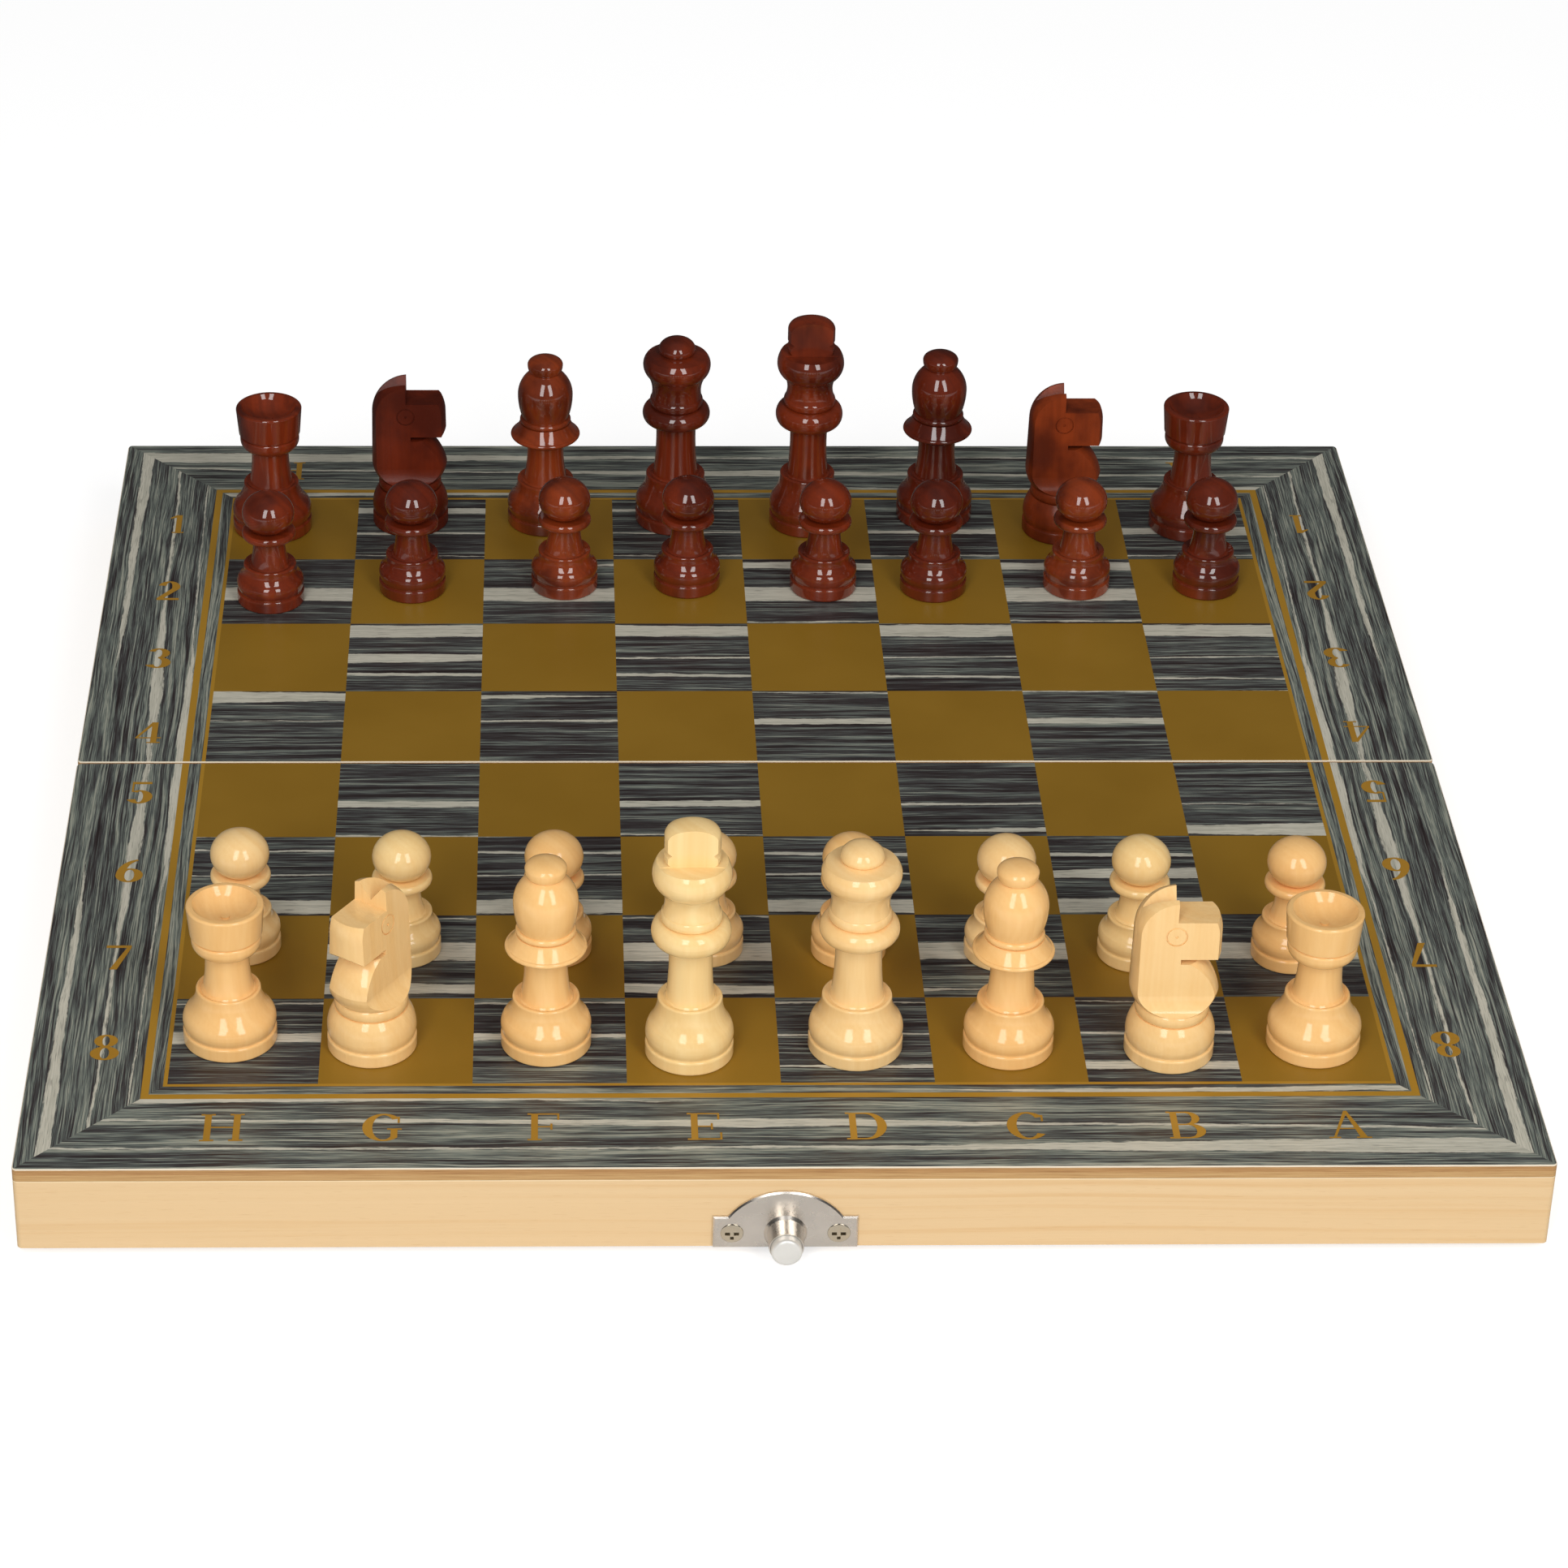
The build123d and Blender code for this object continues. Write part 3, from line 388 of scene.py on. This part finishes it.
def bowl(x, y, wide, high, thick, start, end):
    """A curved stroke, thick where it runs upright and thin where it runs across."""
    turn = (end - start) / bowl_steps
    angles = [radians(start + turn * step) for step in range(bowl_steps + 1)]
    outer = [(x + wide * cos(angle), y + high * sin(angle)) for angle in angles]
    inner_wide, inner_high = wide - thick, high - thin_stroke
    inner = [(x + inner_wide * cos(angle), y + inner_high * sin(angle)) for angle in angles]
    return outer + inner[::-1]


signs = {
    "A": [
        [(-3.0, 0.42), (-2.5, 0.42), (0.2, 7.6), (-0.1, 8.8)],
        [(-0.1, 8.8), (2.0, 0.42), (3.4, 0.42), (0.5, 8.8)],
        [(-1.56, 2.9), (1.38, 2.9), (1.28, 3.3), (-1.41, 3.3)],
        bar(-3.9, 0.0, -1.7, 0.42), bar(1.3, 0.0, 4.2, 0.42),
    ],
    "B": stem(-2.3, right_feet=()) + [
        bar(-1.65, 8.18, 0.0, 8.6), bar(-1.65, 4.28, 0.0, 4.7), bar(-1.65, 0.0, 0.4, 0.42),
        bowl(0.0, 6.44, 2.6, 2.16, 1.5, -90, 90), bowl(0.4, 2.35, 3.0, 2.35, 1.7, -90, 90),
    ],
    "C": [bowl(0.2, 4.3, 4.0, 4.4, 1.9, 40, 322), bar(2.85, 5.7, 3.25, 7.7)],
    "D": stem(-2.5, right_feet=()) + [
        bar(-1.85, 8.18, 0.0, 8.6), bar(-1.85, 0.0, 0.0, 0.42),
        bowl(0.0, 4.3, 3.9, 4.3, 1.8, -90, 90),
    ],
    "E": stem(-2.1, right_feet=()) + [
        bar(-1.45, 8.18, 2.3, 8.6), bar(2.3, 6.5, 2.7, 8.6), bar(-1.45, 4.1, 1.0, 4.5),
        bar(1.0, 3.3, 1.4, 5.3), bar(-1.45, 0.0, 2.7, 0.42), bar(2.7, 0.0, 3.1, 2.3),
    ],
    "F": stem(-1.9, right_feet=(0.0,)) + [
        bar(-1.25, 8.18, 2.4, 8.6), bar(2.4, 6.5, 2.8, 8.6), bar(-1.25, 4.1, 1.1, 4.5),
        bar(1.1, 3.3, 1.5, 5.3),
    ],
    "G": [
        bowl(0.0, 4.3, 4.0, 4.4, 1.9, 40, 312), bar(2.65, 5.7, 3.05, 7.7),
        bar(1.4, 0.9, 2.7, 3.5), bar(0.7, 3.5, 3.5, 3.92),
    ],
    "H": stem(-2.75) + stem(2.75) + [bar(-2.1, 4.1, 2.1, 4.5)],
    "1": stem(0.2, left_feet=(0.0,), right_feet=(0.0,)) + [
        [(-0.45, 8.6), (-1.9, 7.2), (-1.9, 6.8), (-0.45, 7.4)],
    ],
    "2": [
        bowl(0.0, 6.0, 2.5, 2.6, 1.8, -20, 165),
        [(-2.5, 0.9), (-1.0, 0.9), (2.35, 5.11), (0.66, 5.28)], bar(-2.5, 0.0, 2.5, 0.9),
    ],
    "3": [
        bowl(-0.3, 6.45, 2.5, 2.15, 1.7, -90, 155), bowl(-0.3, 2.35, 2.9, 2.35, 2.0, -155, 90),
    ],
    "4": [
        [(-2.8, 2.4), (-2.2, 2.4), (0.5, 7.0), (0.5, 8.6)], bar(-2.8, 1.98, 2.7, 2.4),
        bar(0.5, 2.4, 1.8, 8.6), bar(0.5, 0.0, 1.8, 1.98), bar(-0.3, 0.0, 0.5, 0.42),
        bar(1.8, 0.0, 2.6, 0.42),
    ],
    "5": [
        bar(-1.9, 7.7, 2.2, 8.6), bar(-1.9, 4.6, -1.5, 7.7),
        bowl(-0.2, 2.65, 2.8, 2.65, 2.0, -155, 128),
    ],
    "6": [
        bowl(0.0, 2.6, 2.8, 2.6, 1.8, 0, 180), bowl(0.0, 2.6, 2.8, 2.6, 1.8, 180, 360),
        bowl(2.0, 2.6, 4.8, 6.0, 1.8, 98, 180),
    ],
    "7": [bar(-2.5, 7.7, 2.5, 8.6), [(-1.4, 0.0), (0.1, 0.0), (2.5, 7.7), (1.6, 7.7)]],
    "8": [
        bowl(0.0, 6.5, 2.3, 2.1, 1.6, 0, 180), bowl(0.0, 6.5, 2.3, 2.1, 1.6, 180, 360),
        bowl(0.0, 2.3, 2.8, 2.3, 1.9, 0, 180), bowl(0.0, 2.3, 2.8, 2.3, 1.9, 180, 360),
    ],
}


def printed_sign(sign):
    """One letter or number, lying flat at the origin. Each stroke lies a hair above the last."""
    strokes = []
    for number, outline in enumerate(signs[sign]):
        bpy.ops.object.select_all(action="DESELECT")
        bpy.ops.curve.primitive_nurbs_circle_add(location=(0, 0, 0))
        curve = bpy.context.object.data
        curve.splines.clear()
        curve.dimensions = "2D"
        curve.fill_mode = "BOTH"
        spline = curve.splines.new("POLY")
        spline.points.add(len(outline) - 1)
        for point, (x, y) in zip(spline.points, outline):
            point.co = (x / 1000, (y - sign_high / 2) / 1000, 0.0, 1.0)
        spline.use_cyclic_u = True
        bpy.ops.object.convert(target="MESH")
        stroke = bpy.context.object
        stroke.data.transform(Matrix.Translation((0, 0, number * stroke_lift)))
        strokes.append(stroke)
    for stroke in strokes:
        stroke.select_set(True)
    bpy.context.view_layer.objects.active = strokes[0]
    bpy.ops.object.join()
    drawn = bpy.context.object
    drawn.data.materials.clear()
    drawn.data.materials.append(gilding)
    return drawn


def place_sign(sign_object, name, x, y, turned):
    """Move a finished sign to its place on one half of the board."""
    turn = Matrix.Rotation(pi if turned else 0.0, 4, "Z")
    sign_object.data.transform(Matrix.Translation((x, y, print_top + print_lift)) @ turn)
    sign_object.name = name
    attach(sign_object, "front_half" if y < 0 else "rear_half")


letter_pitch = 0.0305
letter_shift = 0.0003
letter_row = 0.1320
places = {}
for number, sign in enumerate("HGFEDCBA"):
    middle = (number - 3.5) * letter_pitch + letter_shift
    places[sign] = [(middle, -letter_row, False), (middle, letter_row, True)]
ranks = [0.1057, 0.0743, 0.0440, 0.0122, -0.0122, -0.0425, -0.0743, -0.1055]
for number, height in enumerate(ranks):
    places[str(number + 1)] = [(-0.1306, height, False), (0.1305, height, True)]
for sign, (upright, turned) in places.items():
    first = printed_sign(sign)
    second = first.copy()
    second.data = first.data.copy()
    bpy.context.collection.objects.link(second)
    place_sign(first, "coordinate_%s_upright" % sign, *upright)
    place_sign(second, "coordinate_%s_turned" % sign, *turned)

# Frames. Eight mitred rails of pale pine, glued at the corners and under the sheets, sanded
# and left with a thin matt lacquer. The grain runs along each rail.
# Height above which the rails' top edge carries a painted highlight.
painted_highlight_level = rail_top - 0.00022


def pine(name, lengthwise, sheet):
    """Pale pine whose grain runs along X, or along Y where lengthwise is 1, with a painted
    highlight along its top edge.
    """
    made, shader, (x, y, z) = finish(name, roughness=0.5, specular=0.35)
    along, across = (y, x) if lengthwise else (x, y)
    wander = clouds(along * 7.0, z * 40.0, across * 40.0 + sheet, 2.0) - 0.5
    level = z + wander * 0.006
    rings = clouds(along * 2.0, level * 420.0, across * 160.0 + sheet, 3.0, 0.55)
    fibre = clouds(along * 60.0, z * 2600.0, across * 2600.0 + sheet, 2.0, 0.6)
    wood = (rings + (fibre - 0.5) * 0.12).ramp(
        [
            (0.30, srgb(230, 198, 152)),
            (0.52, srgb(228, 195, 148)),
            (0.64, srgb(224, 187, 137)),
            (0.78, srgb(216, 172, 118)),
        ]
    )
    # Painted highlight: the top edge of the rail is painted lighter, as if it caught the lamps.
    wood = z.over(painted_highlight_level, 0.0001).blend(wood, srgb(240, 216, 176))
    pores = clouds(along * 220.0, z * 6000.0, across * 6000.0, 1.0).over(0.70, 0.04)
    feed(shader, "Base Color", (pores * 0.25).blend(wood, srgb(190, 140, 88)))
    feed(shader, "Roughness", 0.46 + fibre * 0.12)
    emboss(shader, fibre + rings, grain_depth)
    return made


put_on(pine("pine_near_and_far", False, 3.0), "front_outer_rail", "rear_outer_rail")
put_on(pine("pine_seam", False, 8.0), "front_mid_rail", "rear_mid_rail")
put_on(pine("pine_left", True, 14.0), "front_left_rail", "rear_left_rail")
put_on(pine("pine_right", True, 27.0), "front_right_rail", "rear_right_rail")

# Hinges and catch. Stamped steel with a satin nickel plate: two butt hinges let into the rims,
# and a half-moon catch plate with its push button on the near edge, matched by the strike.


def nickel(name, tone, rough, mottle, metallic=1.0):
    """Nickel plate with faint clouds where the polish is uneven."""
    made, shader, (x, y, z) = finish(name, roughness=rough, metallic=metallic)
    patch = clouds(x * 160.0, y * 160.0, z * 160.0, 4.0, 0.6)
    dull = tuple(0.9 * part for part in tone)
    feed(shader, "Base Color", patch.over(0.5, 0.25).blend(dull, tone))
    feed(shader, "Roughness", rough + (patch - 0.5) * mottle)
    scratches = clouds(x * 900.0, y * 900.0, z * 5200.0, 2.0, 0.6)
    emboss(shader, scratches, 0.000001)
    return made


put_on(nickel("satin_nickel", srgb(228, 220, 210), 0.28, 0.25), "catch_plate")
put_on(nickel("dull_nickel", srgb(228, 220, 210), 0.34, 0.25, 0.5), "strike_plate")
put_on(nickel("worn_nickel", srgb(238, 236, 230), 0.36, 0.15, 0.4), "catch_button")
put_on(nickel("bright_nickel", srgb(220, 207, 184), 0.14, 0.12), "catch_screws")
put_on(nickel("dull_screws", srgb(220, 207, 184), 0.25, 0.12, 0.5), "strike_screws")
put_on(nickel("hinge_nickel", srgb(204, 198, 186), 0.3, 0.2, 0.5), "hinge_left_front_leaf",
       "hinge_left_rear_leaf", "hinge_right_front_leaf", "hinge_right_rear_leaf",
       "hinge_left_pin", "hinge_right_pin", "hinge_screws_front", "hinge_screws_rear")
put_on(nickel("spring_steel", srgb(150, 148, 146), 0.3, 0.15), "catch_spring", "catch_bar")

# Chessmen. Turned in a close-grained pale wood and lacquered; the light side keeps the wood's
# own honey colour and the dark side is stained a deep red-brown before the lacquer.
light_tones = [
    srgb(253, 204, 136), srgb(253, 212, 148), srgb(252, 204, 136), srgb(254, 216, 154),
    srgb(254, 220, 156),
]
carving_depth = 0.0001
dark_tones = [
    srgb(134, 48, 17), srgb(112, 37, 13), srgb(146, 58, 21), srgb(122, 42, 15),
]


def turned_wood(name, tone, shade, sheet, stained):
    """Lacquered wood of one man, with the grain along its height and rings around its heart."""
    if stained and "knight" in name:
        coat, coat_roughness, coat_ior = 0.35, 0.22, 1.5
    elif stained:
        coat, coat_roughness, coat_ior = 1.0, 0.06, 1.7
    else:
        coat, coat_roughness, coat_ior = 1.0, 0.10, 1.5
    made, shader, (x, y, z) = finish(
        name + "_wood", 0.6, 0.0, 0.1, coat, coat_roughness, coat_ior
    )
    low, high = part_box(name)
    heart_x = (low[0] + high[0]) / 2 + 0.006
    heart_y = (low[1] + high[1]) / 2 + 0.004
    bow = clouds(x * 30.0, y * 30.0, z * 12.0 + sheet, 2.0) - 0.5
    from_x = x - heart_x + bow * 0.004
    from_y = y - heart_y + bow * 0.004
    ring = from_x.math("SQRT", from_x * from_x + from_y * from_y)
    years = clouds(ring * 620.0, z * 7.0, sheet, 2.0, 0.55)
    fibre = clouds(x * 1500.0, y * 1500.0, z * 45.0 + sheet, 2.0, 0.6)
    grain = years + (fibre - 0.5) * 0.35
    colour = grain.over(0.5, 0.3).blend(tone, shade)
    if stained:
        soaked = clouds(x * 90.0, y * 90.0, z * 60.0 + sheet, 3.0)
        colour = (soaked.over(0.54, 0.12) * 0.7).blend(colour, srgb(58, 16, 8))
    feed(shader, "Base Color", colour)
    relief = fibre * 0.1
    if "knight" in name:
        relief = relief + clouds(x * 700.0, y * 700.0, z * 500.0, 3.0)
    emboss(shader, relief, carving_depth)
    return made


men = ["rook_left", "knight_left", "bishop_left", "queen", "king", "bishop_right", "knight_right",
       "rook_right"] + ["pawn_%d" % (number + 1) for number in range(8)]
for number, man in enumerate(men):
    tone = light_tones[number % len(light_tones)]
    shade = tuple(part * factor for part, factor in zip(tone, (0.95, 0.88, 0.78)))
    put_on(turned_wood("light_" + man, tone, shade, number * 3.7, False), "light_" + man)
    tone = dark_tones[number % len(dark_tones)]
    shade = tuple(part * 0.66 for part in tone)
    put_on(turned_wood("dark_" + man, tone, shade, 60 + number * 3.7, True), "dark_" + man)

# Studio. A white floor that keeps the board's soft shadow and carries a painted glow, a pale
# surround, and two tall soft boxes in front, one to each side. Behind the board the floor is
# painted dark for reflections only, so the lacquer mirrors a dark room.
bpy.ops.object.select_all(action="DESELECT")
floor_height = cad_box[0][2]
bpy.ops.mesh.primitive_plane_add(size=6.0, location=(0, 0, floor_height))
floor = bpy.context.object
floor.name = "studio_floor"
floor.data.transform(Matrix.Translation(floor.location))
floor.location = (0, 0, 0)
white, shader, (x, y, z) = finish("white_floor", roughness=0.9, specular=0.1)
tree = white.node_tree
path = tree.nodes.new("ShaderNodeLightPath")
seen = Wire(path.outputs["Is Camera Ray"])
# Painted reflection: to glossy rays the floor behind the board is dark, standing in for a dark
# room.
painted_dark_reflection = Wire(path.outputs["Is Glossy Ray"]) * y.over(-0.13, 0.015)
feed(shader, "Base Color", painted_dark_reflection.blend((0.78, 0.78, 0.78), (0.12, 0.12, 0.12)))
shader.inputs["Emission Strength"].default_value = 1.0
# Painted light: seen from the camera the floor glows, less near the board so its shadow stays, more
# farther away where the lamps light it less.
far = x.math("SQRT", x * x + y * y).over(1.1, 0.6)
painted_floor_glow = far.blend((0.60, 0.60, 0.60), (0.85, 0.85, 0.85))
feed(shader, "Emission Color", seen.blend((0.0, 0.0, 0.0), painted_floor_glow))
floor.data.materials.append(white)

world = bpy.data.worlds.new("studio")
scene.world = world
world.use_nodes = True
tree = world.node_tree
path = tree.nodes.new("ShaderNodeLightPath")
seen = Wire(path.outputs["Is Camera Ray"])
clear = Wire(path.outputs["Is Transmission Ray"])
glossy = Wire(path.outputs["Is Glossy Ray"])
aim_y, aim_z = Wire(tree.nodes.new("ShaderNodeTexCoord").outputs["Generated"]).apart()[1:]
from_front = 1 - aim_y.over(0.0, 1.0)
from_low = 1 - aim_z.over(0.5, 0.5)
soft_light = 0.26 + from_front * from_low * 0.38
mirrored = 0.03 + aim_z.over(0.85, 0.15) * 0.05
level = glossy.blend(soft_light, mirrored)
level = seen.math("MAXIMUM", seen, clear).blend(level, 1.0)
tree.links.new(level.socket, tree.nodes["Background"].inputs["Strength"])
tree.nodes["Background"].inputs["Color"].default_value = (1.0, 1.0, 1.0, 1.0)

lamp_wide, lamp_high = 0.34, 1.05
lamp_power = 5.9
for lamp_x in (-0.33, 0.47):
    bpy.ops.object.light_add(type="AREA", location=(lamp_x, -0.98, 0.76))
    lamp = bpy.context.object
    lamp.data.shape = "RECTANGLE"
    lamp.data.size = lamp_wide
    lamp.data.size_y = lamp_high
    lamp.data.energy = lamp_power
    away = lamp.location.copy()
    lamp.rotation_euler = away.to_track_quat("Z", "Y").to_euler()
